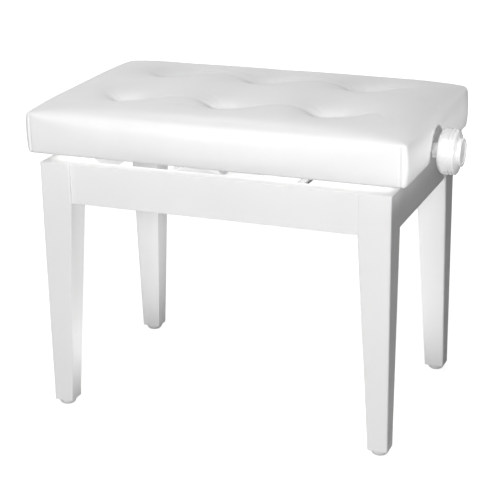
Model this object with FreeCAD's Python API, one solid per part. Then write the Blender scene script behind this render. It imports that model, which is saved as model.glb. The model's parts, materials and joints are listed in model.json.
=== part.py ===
"""A height-adjustable piano bench with a tufted seat.

A wooden frame, four tapered legs joined by four aprons, carries a padded seat box on a
scissor lift. Turning the knob at the right-hand end turns a threaded spindle in the seat
box, the spindle draws a nut along it, and the nut closes the scissors and lifts the seat.
The bench is modelled with the seat at its lowest.

Millimetres. The origin is on the floor, midway between the four feet. +X runs along the
bench towards the knob, +Y towards its back and +Z up.
"""
import FreeCAD, Part
import math
import os

V = FreeCAD.Vector
X, Y, Z = V(1, 0, 0), V(0, 1, 0), V(0, 0, 1)

# ------------------------------------------------------------------ driving sizes
# The wooden frame, outside.
FRAME_LENGTH = 514.0
FRAME_DEPTH = 332.0
FRAME_TOP = 375.5
APRON_HEIGHT = 57.5
APRON_THICKNESS = 20.0
APRON_SETBACK = 3.0
LEG_WIDTH = 46.0
LEG_DEPTH = 44.0
LEG_TAPER = 17.0
LEG_EDGE_RADIUS = 2.5
LEG_END_RADIUS = 1.0
TENON_THICKNESS = 10.0
TENON_LENGTH = 18.0
TENON_SHOULDER = 7.0
MORTISE_PLAY = 0.1
MORTISE_DEPTH_PLAY = 0.5

# The feet under the legs.
GLIDE_RADIUS = 12.5
GLIDE_HEIGHT = 8.0
GLIDE_FLAT_RADIUS = 6.0
GLIDE_RIM = 1.5
GLIDE_SCREW_RECESS = 1.0

# The blocks and bolts that hold the legs in the corners.
BLOCK_RUN = 46.0
BLOCK_HEIGHT = 40.0
BLOCK_DROP = 6.0
BLOCK_SCREW_INSET = 15.5
BLOCK_SCREW_BITE = 14.0
HANGER_RADIUS = 4.0
HANGER_BITE = 34.0
HANGER_PLAY = 0.4
HANGER_TAIL = 3.0
NUT_ACROSS_FLATS = 13.0
NUT_HEIGHT = 8.0
NUT_FLANGE_RADIUS = 9.0
NUT_FLANGE = 1.6

# The seat, over its vinyl.
SEAT_LENGTH = 550.0
SEAT_DEPTH = 334.0
SEAT_SIDE = 66.0
SEAT_CROWN = 10.0
SEAT_EDGE_RADIUS = 12.0
REST_GAP = 12.5
COVER_THICKNESS = 1.4
SOFT_GAP = 0.3
HEM_WIDTH = 17.0
BOX_THICKNESS = 22.0
BOX_CORNER_RADIUS = 7.0
BOARD_DROP = 21.0
BOARD_THICKNESS = 12.0

# The tufting.
TUFT_COLUMNS = 3
TUFT_ROWS = 2
TUFT_PITCH_X = 151.0
TUFT_PITCH_Y = 146.0
TUFT_DEPTH = 24.0
TUFT_RADIUS = 40.0
BUTTON_RADIUS = 9.0
BUTTON_HEIGHT = 4.5
BUTTON_RIM = 1.5
BUTTON_PLAY = 1.0
TWINE_RADIUS = 0.9
TOGGLE_RADIUS = 8.0
TOGGLE_THICKNESS = 3.0
KNOT_RADIUS = 2.4

# The staples that hold the vinyl's hem.
STAPLE_CROWN = 10.0
STAPLE_WIRE = 0.8
STAPLE_LEG = 5.0
STAPLE_SPACING = 46.0
STAPLE_INSET = 9.0

# The scissor lift.
LIFT = 90.0
ARM_LENGTH = 200.0
ARM_WIDTH = 22.0
ARM_THICKNESS = 4.0
ARM_GAP = 2.0
LIFT_OFFSET = 4.0
BASE_PIVOT_DROP = 25.5
SEAT_PIVOT_RISE = 16.0
SHAFT_RADIUS = 6.0
RUNNING_PLAY = 0.05
SIDE_PLAY = 0.2
ARM_WASHER_RADIUS = 10.0
ARM_WASHER_THICKNESS = 1.0
SPACER_WALL = 3.0
RING_THICKNESS = 1.2
RING_HEIGHT = 3.0
RING_GROOVE = 0.8
RAIL_HEIGHT = 30.0
RAIL_DEPTH = 22.0
RAIL_WALL = 2.5
RAIL_MARGIN = 40.0
RAIL_SCREW_INSET = 12.0
SHOE_LENGTH = 30.0
SHOE_INSET = 1.0
SHOE_BACK_GAP = 3.0
SHOE_PLAY = 0.2
SHAFT_END_GAP = 1.0

# The spindle and what holds it.
SPINDLE_RADIUS = 6.0
SPINDLE_SHIFT = -30.0
BLOCK_SIDE = 26.0
STUB_RADIUS = 4.5
STUB_LENGTH = 5.0
COLLAR_RADIUS = 11.0
COLLAR_LENGTH = 9.0
COLLAR_SCREW_RADIUS = 2.0
BUSH_WALL = 4.0
BUSH_FLANGE_RADIUS = 15.0
BUSH_FLANGE = 3.0

# The knob.
KNOB_RADIUS = 31.5
KNOB_NECK_RADIUS = 11.0
KNOB_NECK = 9.0
KNOB_BACK_RADIUS = 20.0
KNOB_BACK = 8.5
KNOB_RIM = 7.5
KNOB_GROOVE = 1.2
KNOB_GROOVE_DEPTH = 0.9
KNOB_BAND = 4.0
KNOB_SHOULDER = 4.0
KNOB_PLAY = 0.8
KNOB_BORE_DEPTH = 14.0
KNOB_FLAT = 4.5
KNOB_BORE_PLAY = 0.1
CAP_RADIUS = 19.5
CAP_LIP = 1.0
CAP_SEAT = 4.0
CAP_STAND = 5.4
CAP_RIM = 3.5
CAP_DISH = 1.0
CAP_GROOVE_DEPTH = 1.0

# Screws: head radius, head height, shank radius, length under the head.
BLOCK_SCREW = (4.0, 2.6, 2.0, 26.0)
GLIDE_SCREW = (3.6, 2.2, 1.8, 22.0)
RAIL_SCREW = (4.2, 2.2, 2.0, 17.0)
BOARD_SCREW = (4.0, 2.4, 2.0, 30.0)
KNOB_SCREW = (4.8, 3.2, 2.4, 17.0)
SCREW_PLAY = 0.2
SCREW_CROWN = 0.7
SCREW_SLOT = 0.28
BOARD_SCREW_INSET = 30.0
BOARD_SCREW_SPACING = 120.0

# ------------------------------------------------------------------ places that follow
# The frame: faces of the corner at +X +Y.
leg_out_x = FRAME_LENGTH / 2
leg_out_y = FRAME_DEPTH / 2
leg_in_x = leg_out_x - LEG_WIDTH
leg_in_y = leg_out_y - LEG_DEPTH
apron_out_x = leg_out_x - APRON_SETBACK
apron_out_y = leg_out_y - APRON_SETBACK
apron_in_x = apron_out_x - APRON_THICKNESS
apron_in_y = apron_out_y - APRON_THICKNESS
apron_bottom = FRAME_TOP - APRON_HEIGHT
foot_x = (leg_out_x + leg_in_x + LEG_TAPER) / 2
foot_y = (leg_out_y + leg_in_y + LEG_TAPER) / 2

# The seat.
seat_bottom = FRAME_TOP + REST_GAP
seat_edge = seat_bottom + SEAT_SIDE
seat_top = seat_edge + SEAT_CROWN
skin = COVER_THICKNESS + SOFT_GAP
seat_half_x = SEAT_LENGTH / 2
seat_half_y = SEAT_DEPTH / 2
box_out_x = seat_half_x - skin
box_out_y = seat_half_y - skin
box_in_x = box_out_x - BOX_THICKNESS
box_in_y = box_out_y - BOX_THICKNESS
box_bottom = seat_bottom + skin
board_top = seat_edge - BOARD_DROP
board_bottom = board_top - BOARD_THICKNESS
tuft_floor = seat_top - TUFT_DEPTH

# The lift: pivots A (fixed) and B (sliding), below on the frame and above on the seat.
base_pivot_z = FRAME_TOP - BASE_PIVOT_DROP
seat_pivot_z = seat_bottom + SEAT_PIVOT_RISE
rise_low = seat_pivot_z - base_pivot_z
rise_high = rise_low + LIFT
reach_low = math.sqrt(ARM_LENGTH ** 2 - rise_low ** 2)
reach_high = math.sqrt(ARM_LENGTH ** 2 - rise_high ** 2)
fixed_x = LIFT_OFFSET + reach_low / 2
slide_x = fixed_x - reach_low
slide_x_high = fixed_x - reach_high
middle_x = (fixed_x + slide_x) / 2
middle_z = (base_pivot_z + seat_pivot_z) / 2

# Across the bench, from the rails inwards to the arms.
base_rail_edge = apron_in_y - RAIL_DEPTH
seat_rail_edge = box_in_y - RAIL_DEPTH
arm_a_out = min(base_rail_edge, seat_rail_edge) - ARM_GAP
arm_a_in = arm_a_out - ARM_THICKNESS
arm_b_out = arm_a_in - ARM_WASHER_THICKNESS
arm_b_in = arm_b_out - ARM_THICKNESS
rail_start = slide_x - SHOE_LENGTH / 2 - RAIL_MARGIN
rail_end = fixed_x + RAIL_MARGIN
rail_screw_places = (
    rail_start + RAIL_SCREW_INSET,
    (slide_x_high + SHOE_LENGTH / 2 + fixed_x) / 2,
    rail_end - RAIL_SCREW_INSET,
)
spacer_radius = SHAFT_RADIUS + SPACER_WALL
ring_radius = SHAFT_RADIUS - RING_GROOVE + RING_HEIGHT


# ------------------------------------------------------------------ solids
def block(x, y, z):
    """A box between pairs of limits along X, Y and Z."""
    low = V(min(x), min(y), min(z))
    return Part.makeBox(abs(x[1] - x[0]), abs(y[1] - y[0]), abs(z[1] - z[0]), low)


def rod(start, direction, radius, length):
    return Part.makeCylinder(radius, length, start, direction)


def tube(start, direction, inner, outer, length):
    return rod(start, direction, outer, length).cut(rod(start, direction, inner, length))


def cross_rod(x, z, y, radius):
    """A round bar across the bench, between two limits along Y."""
    return rod(V(x, min(y), z), Y, radius, abs(y[1] - y[0]))


def cross_tube(x, z, y, inner, outer):
    return tube(V(x, min(y), z), Y, inner, outer, abs(y[1] - y[0]))


def prism(points, sweep):
    """A solid with flat ends: the outline through the points, swept along a vector."""
    outline = Part.makePolygon(points + [points[0]])
    return Part.Face(outline).extrude(sweep)


def lathe(profile, centre, axis, radial):
    """A turned solid. The profile is pairs: distance along the axis, radius."""
    points = [centre + axis * along + radial * radius for along, radius in profile]
    outline = Part.makePolygon(points + [points[0]])
    return Part.Face(outline).revolve(centre, axis, 360)


def square_to(direction):
    """An axis at right angles to one that runs along X, Y or Z."""
    return X if abs(direction.z) > 0.5 else Z


def screw(size, seat, direction):
    """A screw whose head bears on the seat point and whose pointed shank runs along the direction."""
    head_radius, head_height, shank_radius, length = size
    profile = [
        (-head_height, 0.0),
        (-head_height, head_radius * SCREW_CROWN),
        (-head_height / 2, head_radius),
        (0.0, head_radius),
        (0.0, shank_radius),
        (length - 2 * shank_radius, shank_radius),
        (length, 0.0),
    ]
    return lathe(profile, seat, direction, square_to(direction))


def cross_screw(size, seat, direction):
    """The same screw with a cross recess in its head. Holes are cut with the plain one."""
    head_radius, head_height = size[:2]
    side = square_to(direction)
    half_slot = head_radius * SCREW_SLOT / 2
    reach = head_radius * SCREW_CROWN
    foot = seat - direction * head_height / 2
    slots = []
    for along in (side, direction.cross(side)):
        across = direction.cross(along)
        low = foot - along * reach - across * half_slot
        high = seat - direction * head_height + along * reach + across * half_slot
        slots.append(block((low.x, high.x), (low.y, high.y), (low.z, high.z)))
    return screw(size, seat, direction).cut(slots)


def screw_way(size, seat, direction, depth, play):
    """What a screw's head sweeps on its way in, for a recess of the given depth."""
    head_radius = size[0] + play
    return rod(seat - direction * depth, direction, head_radius, depth)


def flip(shape, across):
    """The shape's mirror image through the origin, across X, Y or both."""
    for normal in across:
        shape = shape.mirror(V(0, 0, 0), normal)
    return shape


def four_corners(shape):
    return [flip(shape, across) for across in ([], [X], [Y], [X, Y])]


def two_sides(shape):
    """A shape at the back, and the same at the front."""
    return [shape, flip(shape, [Y])]


def grid(count, pitch):
    """Places at an even pitch about zero."""
    return [(i - (count - 1) / 2) * pitch for i in range(count)]


def spread(half, spacing):
    """Places from -half to +half, evenly spaced, as near the spacing as they come."""
    gaps = max(1, round(2 * half / spacing))
    return [half * (2 * i / gaps - 1) for i in range(gaps + 1)]


# ------------------------------------------------------------------ the frame
def tenon(play, end_play):
    """A tenon of the back apron and one of the right-hand apron, both in the +X +Y leg."""
    z = (apron_bottom + TENON_SHOULDER - play, FRAME_TOP - TENON_SHOULDER + play)
    half = TENON_THICKNESS / 2 + play
    long_middle = apron_out_y - APRON_THICKNESS / 2
    short_middle = apron_out_x - APRON_THICKNESS / 2
    long_x = (leg_in_x, leg_in_x + TENON_LENGTH + end_play)
    short_y = (leg_in_y, leg_in_y + TENON_LENGTH + end_play)
    return (
        block(long_x, (long_middle - half, long_middle + half), z),
        block((short_middle - half, short_middle + half), short_y, z),
    )


def hanger_axis():
    """Where a corner bolt crosses the block's slanted face, and the way it runs into the leg."""
    run_in = V(1, 1, 0).normalize()
    slant = (leg_in_x - BLOCK_RUN) + apron_in_y
    along = (slant - leg_in_x - leg_in_y) / 2
    height = FRAME_TOP - BLOCK_DROP - BLOCK_HEIGHT / 2
    return V(leg_in_x + along, leg_in_y + along, height), run_in


def hanger_bolt():
    face, run_in = hanger_axis()
    block_depth = (V(leg_in_x, leg_in_y, face.z) - face).Length
    tail = NUT_HEIGHT + HANGER_TAIL
    return rod(face - run_in * tail, run_in, HANGER_RADIUS, tail + block_depth + HANGER_BITE)


def hanger_nut():
    """A hexagonal nut with a flange that bears on the block."""
    face, run_in = hanger_axis()
    start = face - run_in * NUT_HEIGHT
    side = Z.cross(run_in)
    corner = NUT_ACROSS_FLATS / math.sqrt(3)
    turns = [math.radians(60 * i) for i in range(6)]
    points = [start + (side * math.cos(t) + Z * math.sin(t)) * corner for t in turns]
    flange = rod(face - run_in * NUT_FLANGE, run_in, NUT_FLANGE_RADIUS, NUT_FLANGE)
    return prism(points, run_in * NUT_HEIGHT).fuse(flange).cut(hanger_bolt())


def leg():
    """The leg at +X +Y, with its mortises, and the holes for its bolt and its foot's screw."""
    waist = apron_bottom
    along_x = [
        V(leg_out_x, leg_in_y, GLIDE_HEIGHT),
        V(leg_out_x, leg_in_y, FRAME_TOP),
        V(leg_in_x, leg_in_y, FRAME_TOP),
        V(leg_in_x, leg_in_y, waist),
        V(leg_in_x + LEG_TAPER, leg_in_y, GLIDE_HEIGHT),
    ]
    along_y = [
        V(leg_in_x, leg_out_y, GLIDE_HEIGHT),
        V(leg_in_x, leg_out_y, FRAME_TOP),
        V(leg_in_x, leg_in_y, FRAME_TOP),
        V(leg_in_x, leg_in_y, waist),
        V(leg_in_x, leg_in_y + LEG_TAPER, GLIDE_HEIGHT),
    ]
    body = prism(along_x, Y * LEG_DEPTH).common(prism(along_y, X * LEG_WIDTH))
    body = body.makeFillet(LEG_EDGE_RADIUS, [e for e in body.Edges if is_upright_leg_edge(e)])
    body = body.makeFillet(LEG_END_RADIUS, [e for e in body.Edges if is_bottom_leg_edge(e)])
    mortises = list(tenon(MORTISE_PLAY, MORTISE_DEPTH_PLAY))
    return body.cut(mortises + [hanger_bolt(), glide_screw()])


def is_upright_leg_edge(edge):
    """The edges of the leg's two outer faces, from its foot to its top."""
    ends = [v.Point for v in edge.Vertexes]
    outside = all(p.x > leg_out_x - 0.01 for p in ends) or all(p.y > leg_out_y - 0.01 for p in ends)
    return outside and abs(ends[0].z - ends[-1].z) > LEG_TAPER


def is_bottom_leg_edge(edge):
    return all(abs(v.Point.z - GLIDE_HEIGHT) < 0.01 for v in edge.Vertexes)


def glide():
    """A foot: a turned disc with a rounded underside and a recess for its screw."""
    shoulder = GLIDE_HEIGHT - GLIDE_RIM
    steps = 6
    fall = GLIDE_RADIUS - GLIDE_FLAT_RADIUS
    profile = [(GLIDE_HEIGHT, 0.0), (GLIDE_HEIGHT, GLIDE_RADIUS)]
    for i in range(steps + 1):
        turn = math.pi / 2 * i / steps
        height = shoulder * (1 - math.sin(turn))
        profile.append((height, GLIDE_FLAT_RADIUS + fall * math.cos(turn)))
    profile.append((0.0, 0.0))
    disc = lathe(profile, V(foot_x, foot_y, 0), Z, X)
    recess = GLIDE_SCREW_RECESS + GLIDE_SCREW[1]
    way = screw_way(GLIDE_SCREW, V(foot_x, foot_y, recess), Z, recess, SCREW_PLAY)
    return disc.cut([way, glide_screw()])


def glide_screw(make=screw):
    seat = V(foot_x, foot_y, GLIDE_SCREW_RECESS + GLIDE_SCREW[1])
    return make(GLIDE_SCREW, seat, Z)


def corner_block():
    """The block in the +X +Y corner, notched round the leg."""
    bottom = FRAME_TOP - BLOCK_DROP - BLOCK_HEIGHT
    start_x = leg_in_x - BLOCK_RUN
    outline = [
        V(start_x, apron_in_y, bottom),
        V(leg_in_x, apron_in_y, bottom),
        V(leg_in_x, leg_in_y, bottom),
        V(apron_in_x, leg_in_y, bottom),
        V(apron_in_x, apron_in_y - (apron_in_x - start_x), bottom),
    ]
    body = prism(outline, Z * BLOCK_HEIGHT)
    face, run_in = hanger_axis()
    bolt_way = rod(face - run_in, run_in, HANGER_RADIUS + HANGER_PLAY, 2 * BLOCK_RUN)
    ways = [screw_way(BLOCK_SCREW, s, d, BLOCK_RUN, SCREW_PLAY) for s, d in block_screw_seats()]
    return body.cut([bolt_way] + ways + block_screws())


def block_screw_seats():
    """Where the two screws of a corner block bear, and the way each runs into its apron."""
    height = FRAME_TOP - BLOCK_DROP - BLOCK_HEIGHT / 2
    shank_in_block = BLOCK_SCREW[3] - BLOCK_SCREW_BITE
    near_x = leg_in_x - BLOCK_RUN + BLOCK_SCREW_INSET
    slant = (leg_in_x - BLOCK_RUN) + apron_in_y
    near_y = slant - apron_in_x + BLOCK_SCREW_INSET
    return [
        (V(near_x, apron_in_y - shank_in_block, height), Y),
        (V(apron_in_x - shank_in_block, near_y, height), X),
    ]


def block_screws(make=screw):
    return [make(BLOCK_SCREW, seat, way) for seat, way in block_screw_seats()]


def long_apron():
    """The back apron, with a tenon at each end and holes for its screws."""
    y = (apron_in_y, apron_out_y)
    body = block((-leg_in_x, leg_in_x), y, (apron_bottom, FRAME_TOP))
    end = tenon(0.0, 0.0)[0]
    body = body.fuse([end, flip(end, [X])]).removeSplitter()
    screws = block_screws()
    holes = screws + [flip(s, [X]) for s in screws] + base_rail_screws()
    return body.cut(holes)


def short_apron():
    """The right-hand apron."""
    x = (apron_in_x, apron_out_x)
    body = block(x, (-leg_in_y, leg_in_y), (apron_bottom, FRAME_TOP))
    end = tenon(0.0, 0.0)[1]
    body = body.fuse([end, flip(end, [Y])]).removeSplitter()
    screws = block_screws()
    return body.cut(screws + [flip(s, [Y]) for s in screws])


# ------------------------------------------------------------------ the lift's rails
def rail(web_face, height, hole_x, hole_radius, screws):
    """A channel along the back, its web outwards, with its pivot hole and screw holes."""
    x = (rail_start, rail_end)
    z = (height - RAIL_HEIGHT / 2, height + RAIL_HEIGHT / 2)
    hollow_y = (web_face - RAIL_DEPTH, web_face - RAIL_WALL)
    hollow_z = (z[0] + RAIL_WALL, z[1] - RAIL_WALL)
    body = block(x, (web_face - RAIL_DEPTH, web_face), z)
    body = body.cut(block(x, hollow_y, hollow_z))
    pivot_hole = cross_rod(hole_x, height, (web_face - RAIL_WALL, web_face), hole_radius)
    return body.cut([pivot_hole] + screws)


def rail_screws(web_face, height, make):
    seats = [V(x, web_face - RAIL_WALL, height) for x in rail_screw_places]
    return [make(RAIL_SCREW, seat, Y) for seat in seats]


def base_rail_screws(make=screw):
    return rail_screws(apron_in_y, base_pivot_z, make)


def seat_rail_screws(make=screw):
    return rail_screws(box_in_y, seat_pivot_z, make)


def shoe(web_face, height, arm_face):
    """A sliding block for a channel at the back, with a boss that keeps its arm in place."""
    half = RAIL_HEIGHT / 2 - RAIL_WALL - SHOE_PLAY
    y = (web_face - RAIL_DEPTH + SHOE_INSET, web_face - RAIL_WALL - SHOE_BACK_GAP)
    x = (slide_x - SHOE_LENGTH / 2, slide_x + SHOE_LENGTH / 2)
    boss_y = (arm_face + SIDE_PLAY, y[0])
    body = block(x, y, (height - half, height + half))
    body = body.fuse(cross_rod(slide_x, height, boss_y, spacer_radius))
    return body.cut(cross_rod(slide_x, height, (boss_y[0], y[1]), SHAFT_RADIUS + RUNNING_PLAY))


def slide_shaft_end(web_face):
    return web_face - RAIL_WALL - SHAFT_END_GAP


# ------------------------------------------------------------------ shafts and arms
def ring(x, z, face, way):
    """A snap ring on a shaft along Y, clear of a face by the side play."""
    y = sorted((face + way * SIDE_PLAY, face + way * (SIDE_PLAY + RING_THICKNESS)))
    return cross_tube(x, z, y, SHAFT_RADIUS - RING_GROOVE, ring_radius)


def base_shaft():
    """The fixed pivot of the A arms, from web to web of the channels on the frame."""
    y = (-apron_in_y, apron_in_y)
    shaft = cross_rod(fixed_x, base_pivot_z, y, SHAFT_RADIUS)
    return shaft.cut(base_rings())


def base_rings():
    return two_sides(ring(fixed_x, base_pivot_z, arm_a_in, -1))


def base_spacers():
    y = (arm_a_out + SIDE_PLAY, apron_in_y - RAIL_WALL)
    spacer = cross_tube(fixed_x, base_pivot_z, y, SHAFT_RADIUS, spacer_radius)
    return two_sides(spacer)


def slide_shaft():
    """The shaft at the B arms' lower ends, carried in the frame's channels by its shoes."""
    end = slide_shaft_end(apron_in_y)
    shaft = cross_rod(slide_x, base_pivot_z, (-end, end), SHAFT_RADIUS)
    return shaft.cut(slide_rings())


def slide_rings():
    return two_sides(ring(slide_x, base_pivot_z, arm_b_in, -1))


def middle_shaft():
    end = arm_a_out + 2 * SIDE_PLAY + 2 * RING_THICKNESS
    shaft = cross_rod(middle_x, middle_z, (-end, end), SHAFT_RADIUS)
    return shaft.cut(middle_rings())


def middle_rings():
    outer = ring(middle_x, middle_z, arm_a_out, 1)
    inner = ring(middle_x, middle_z, arm_b_in, -1)
    return two_sides(outer) + two_sides(inner)


def middle_washers():
    y = (arm_b_out + RUNNING_PLAY, arm_a_in - RUNNING_PLAY)
    return two_sides(cross_tube(middle_x, middle_z, y, SHAFT_RADIUS, ARM_WASHER_RADIUS))


def arm(start, finish, y, running):
    """A flat bar with round ends and three holes. Running holes turn on their shafts."""
    run = (finish - start).normalize()
    side = Y.cross(run) * (ARM_WIDTH / 2)
    low, high = V(start.x, min(y), start.z), V(finish.x, min(y), finish.z)
    points = [low - side, high - side, high + side, low + side]
    body = prism(points, Y * ARM_THICKNESS)
    ends = [rod(p, Y, ARM_WIDTH / 2, ARM_THICKNESS) for p in (low, high)]
    body = body.fuse(ends).removeSplitter()
    places = (low, (low + high) * 0.5, high)
    plays = [RUNNING_PLAY if turns else 0.0 for turns in running]
    return body.cut([rod(p, Y, SHAFT_RADIUS + q, ARM_THICKNESS) for p, q in zip(places, plays)])


def arm_a():
    """From the fixed pivot on the frame up to the nut's shaft. It carries the middle shaft."""
    start = V(fixed_x, 0, base_pivot_z)
    finish = V(slide_x, 0, seat_pivot_z)
    return arm(start, finish, (arm_a_in, arm_a_out), (True, False, True))


def arm_b():
    """From the sliding shaft on the frame up to the seat's fixed pivot."""
    start = V(slide_x, 0, base_pivot_z)
    finish = V(fixed_x, 0, seat_pivot_z)
    return arm(start, finish, (arm_b_in, arm_b_out), (False, True, True))


# ------------------------------------------------------------------ the spindle's blocks
def spindle_block(x, play):
    """A square block on the spindle, with a socket at the front and back for its shafts."""
    half = BLOCK_SIDE / 2
    y = (SPINDLE_SHIFT - half, SPINDLE_SHIFT + half)
    body = block((x - half, x + half), y, (seat_pivot_z - half, seat_pivot_z + half))
    sockets = [
        cross_rod(x, seat_pivot_z, (y[0], y[0] + STUB_LENGTH), STUB_RADIUS),
        cross_rod(x, seat_pivot_z, (y[1] - STUB_LENGTH, y[1]), STUB_RADIUS),
    ]
    way = rod(V(x - half, SPINDLE_SHIFT, seat_pivot_z), X, SPINDLE_RADIUS + play, BLOCK_SIDE)
    return body.cut(sockets + [way])


def half_shafts(x, end, rings):
    """The two shafts that stand out of a spindle block, front and back."""
    half = BLOCK_SIDE / 2
    shafts = []
    for way in (-1, 1):
        face = SPINDLE_SHIFT + way * half
        body = cross_rod(x, seat_pivot_z, sorted((face, way * end)), SHAFT_RADIUS)
        stub_y = sorted((face - way * STUB_LENGTH, face))
        stub = cross_rod(x, seat_pivot_z, stub_y, STUB_RADIUS)
        shafts.append(body.fuse(stub).removeSplitter().cut(rings))
    return shafts


def nut_rings():
    return two_sides(ring(slide_x, seat_pivot_z, arm_a_in, -1))


def nut_shafts():
    return half_shafts(slide_x, slide_shaft_end(box_in_y), nut_rings())


def seat_rings():
    return two_sides(ring(fixed_x, seat_pivot_z, arm_b_in, -1))


def seat_shafts():
    return half_shafts(fixed_x, box_in_y, seat_rings())


def seat_spacers():
    y = (arm_b_out + SIDE_PLAY, box_in_y - RAIL_WALL)
    return two_sides(cross_tube(fixed_x, seat_pivot_z, y, SHAFT_RADIUS, spacer_radius))


# ------------------------------------------------------------------ the spindle
def collar_starts():
    """Where each collar on the spindle begins: two hold it, and two stop the nut."""
    half = BLOCK_SIDE / 2 + SIDE_PLAY
    return [
        slide_x - half - COLLAR_LENGTH,
        slide_x_high + half,
        fixed_x - half - COLLAR_LENGTH,
        fixed_x + half,
    ]


def collar_screw_ways(foot, top):
    """Upright rods through the collars, between two distances from the spindle's axis."""
    ways = []
    for start in collar_starts():
        origin = V(start + COLLAR_LENGTH / 2, SPINDLE_SHIFT, seat_pivot_z + foot)
        ways.append(rod(origin, Z, COLLAR_SCREW_RADIUS, top - foot))
    return ways


def collar_screws():
    return collar_screw_ways(SPINDLE_RADIUS + RUNNING_PLAY, COLLAR_RADIUS - SIDE_PLAY)


def collars():
    made = []
    for start in collar_starts():
        origin = V(start, SPINDLE_SHIFT, seat_pivot_z)
        body = tube(origin, X, SPINDLE_RADIUS, COLLAR_RADIUS, COLLAR_LENGTH)
        made.append(body.cut(collar_screw_ways(0.0, COLLAR_RADIUS)))
    return made


def bush():
    """The flanged bush in the seat box's right-hand end."""
    origin = V(box_in_x, SPINDLE_SHIFT, seat_pivot_z)
    outer = SPINDLE_RADIUS + BUSH_WALL
    body = rod(origin, X, outer, BOX_THICKNESS)
    flange = rod(origin - X * BUSH_FLANGE, X, BUSH_FLANGE_RADIUS, BUSH_FLANGE)
    body = body.fuse(flange).removeSplitter()
    length = BOX_THICKNESS + BUSH_FLANGE
    way = rod(origin - X * BUSH_FLANGE, X, SPINDLE_RADIUS + RUNNING_PLAY, length)
    return body.cut(way)


knob_start = seat_half_x + KNOB_PLAY
knob_body = knob_start + KNOB_NECK
knob_face = knob_body + KNOB_BACK + KNOB_RIM + KNOB_BAND + 2 * KNOB_GROOVE + KNOB_SHOULDER
spindle_end = knob_start + KNOB_BORE_DEPTH
knob_screw_seat = knob_face - CAP_SEAT - KNOB_SCREW[1] - SIDE_PLAY


def knob_drive(play):
    """The spindle's two flats, inside the knob's bore."""
    start = V(knob_start, SPINDLE_SHIFT, seat_pivot_z)
    bar = rod(start, X, SPINDLE_RADIUS + play, KNOB_BORE_DEPTH + play)
    half = KNOB_FLAT + play
    y = (SPINDLE_SHIFT - 2 * SPINDLE_RADIUS, SPINDLE_SHIFT + 2 * SPINDLE_RADIUS)
    x = (knob_start, spindle_end + play)
    return bar.common(block(x, y, (seat_pivot_z - half, seat_pivot_z + half)))


def knob_screw(make=screw):
    return make(KNOB_SCREW, V(knob_screw_seat, SPINDLE_SHIFT, seat_pivot_z), X * -1)


def spindle():
    start = collar_starts()[0]
    origin = V(start, SPINDLE_SHIFT, seat_pivot_z)
    bar = rod(origin, X, SPINDLE_RADIUS, knob_start - start)
    return bar.fuse(knob_drive(0.0)).removeSplitter().cut(knob_screw())


def quarter_round(start, finish, low, high, steps):
    """A profile's rounded corner, steep at its low radius and level at its high one.

    It leaves out the corner's first point, so that it can follow that point in a profile.
    """
    turns = [math.pi / 2 * (i + 1) / steps for i in range(steps)]
    run, rise = finish - start, high - low
    return [(start + run * (1 - math.cos(t)), low + rise * math.sin(t)) for t in turns]


def groove(start):
    """A square groove turned in the knob's rim."""
    floor = KNOB_RADIUS - KNOB_GROOVE_DEPTH
    end = start + KNOB_GROOVE
    return [(start, KNOB_RADIUS), (start, floor), (end, floor), (end, KNOB_RADIUS)]


def knob():
    """A turned knob: neck, round back, grooved rim, round shoulder and a seat for its cap."""
    rim = KNOB_NECK + KNOB_BACK
    band = rim + KNOB_RIM + KNOB_GROOVE
    shoulder = band + KNOB_BAND + KNOB_GROOVE
    face = shoulder + KNOB_SHOULDER
    profile = [(0.0, 0.0), (0.0, KNOB_NECK_RADIUS), (KNOB_NECK, KNOB_NECK_RADIUS)]
    profile += [(KNOB_NECK, KNOB_BACK_RADIUS)]
    profile += quarter_round(KNOB_NECK, rim, KNOB_BACK_RADIUS, KNOB_RADIUS, 8)
    profile += groove(rim + KNOB_RIM) + groove(band + KNOB_BAND)
    fall = quarter_round(face, shoulder, CAP_RADIUS + CAP_LIP, KNOB_RADIUS, 6)
    profile += fall[-2::-1] + [(face, CAP_RADIUS + CAP_LIP), (face, 0.0)]
    body = lathe(profile, V(knob_start, SPINDLE_SHIFT, seat_pivot_z), X, Y)
    seat = V(knob_face - CAP_SEAT, SPINDLE_SHIFT, seat_pivot_z)
    cap_seat = rod(seat, X, CAP_RADIUS, CAP_SEAT)
    origin = V(knob_screw_seat, SPINDLE_SHIFT, seat_pivot_z)
    head_way = rod(origin, X, KNOB_SCREW[0] + SCREW_PLAY, KNOB_SCREW[1] + SIDE_PLAY)
    return body.cut([cap_seat, head_way, knob_drive(KNOB_BORE_PLAY), knob_screw()])


def knob_cap():
    """The raised disc in the middle of the knob, with a groove round a shallow dish."""
    top = CAP_SEAT + CAP_STAND
    inner = CAP_RADIUS - CAP_RIM
    profile = [
        (0.0, 0.0),
        (0.0, CAP_RADIUS),
        (top - CAP_DISH, CAP_RADIUS),
        (top, CAP_RADIUS - CAP_DISH),
        (top, inner),
        (top - CAP_GROOVE_DEPTH - CAP_DISH, inner - CAP_GROOVE_DEPTH),
        (top - CAP_DISH, inner - 2 * CAP_GROOVE_DEPTH),
        (top - CAP_DISH, 0.0),
    ]
    return lathe(profile, V(knob_face - CAP_SEAT, SPINDLE_SHIFT, seat_pivot_z), X, Y)


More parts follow.
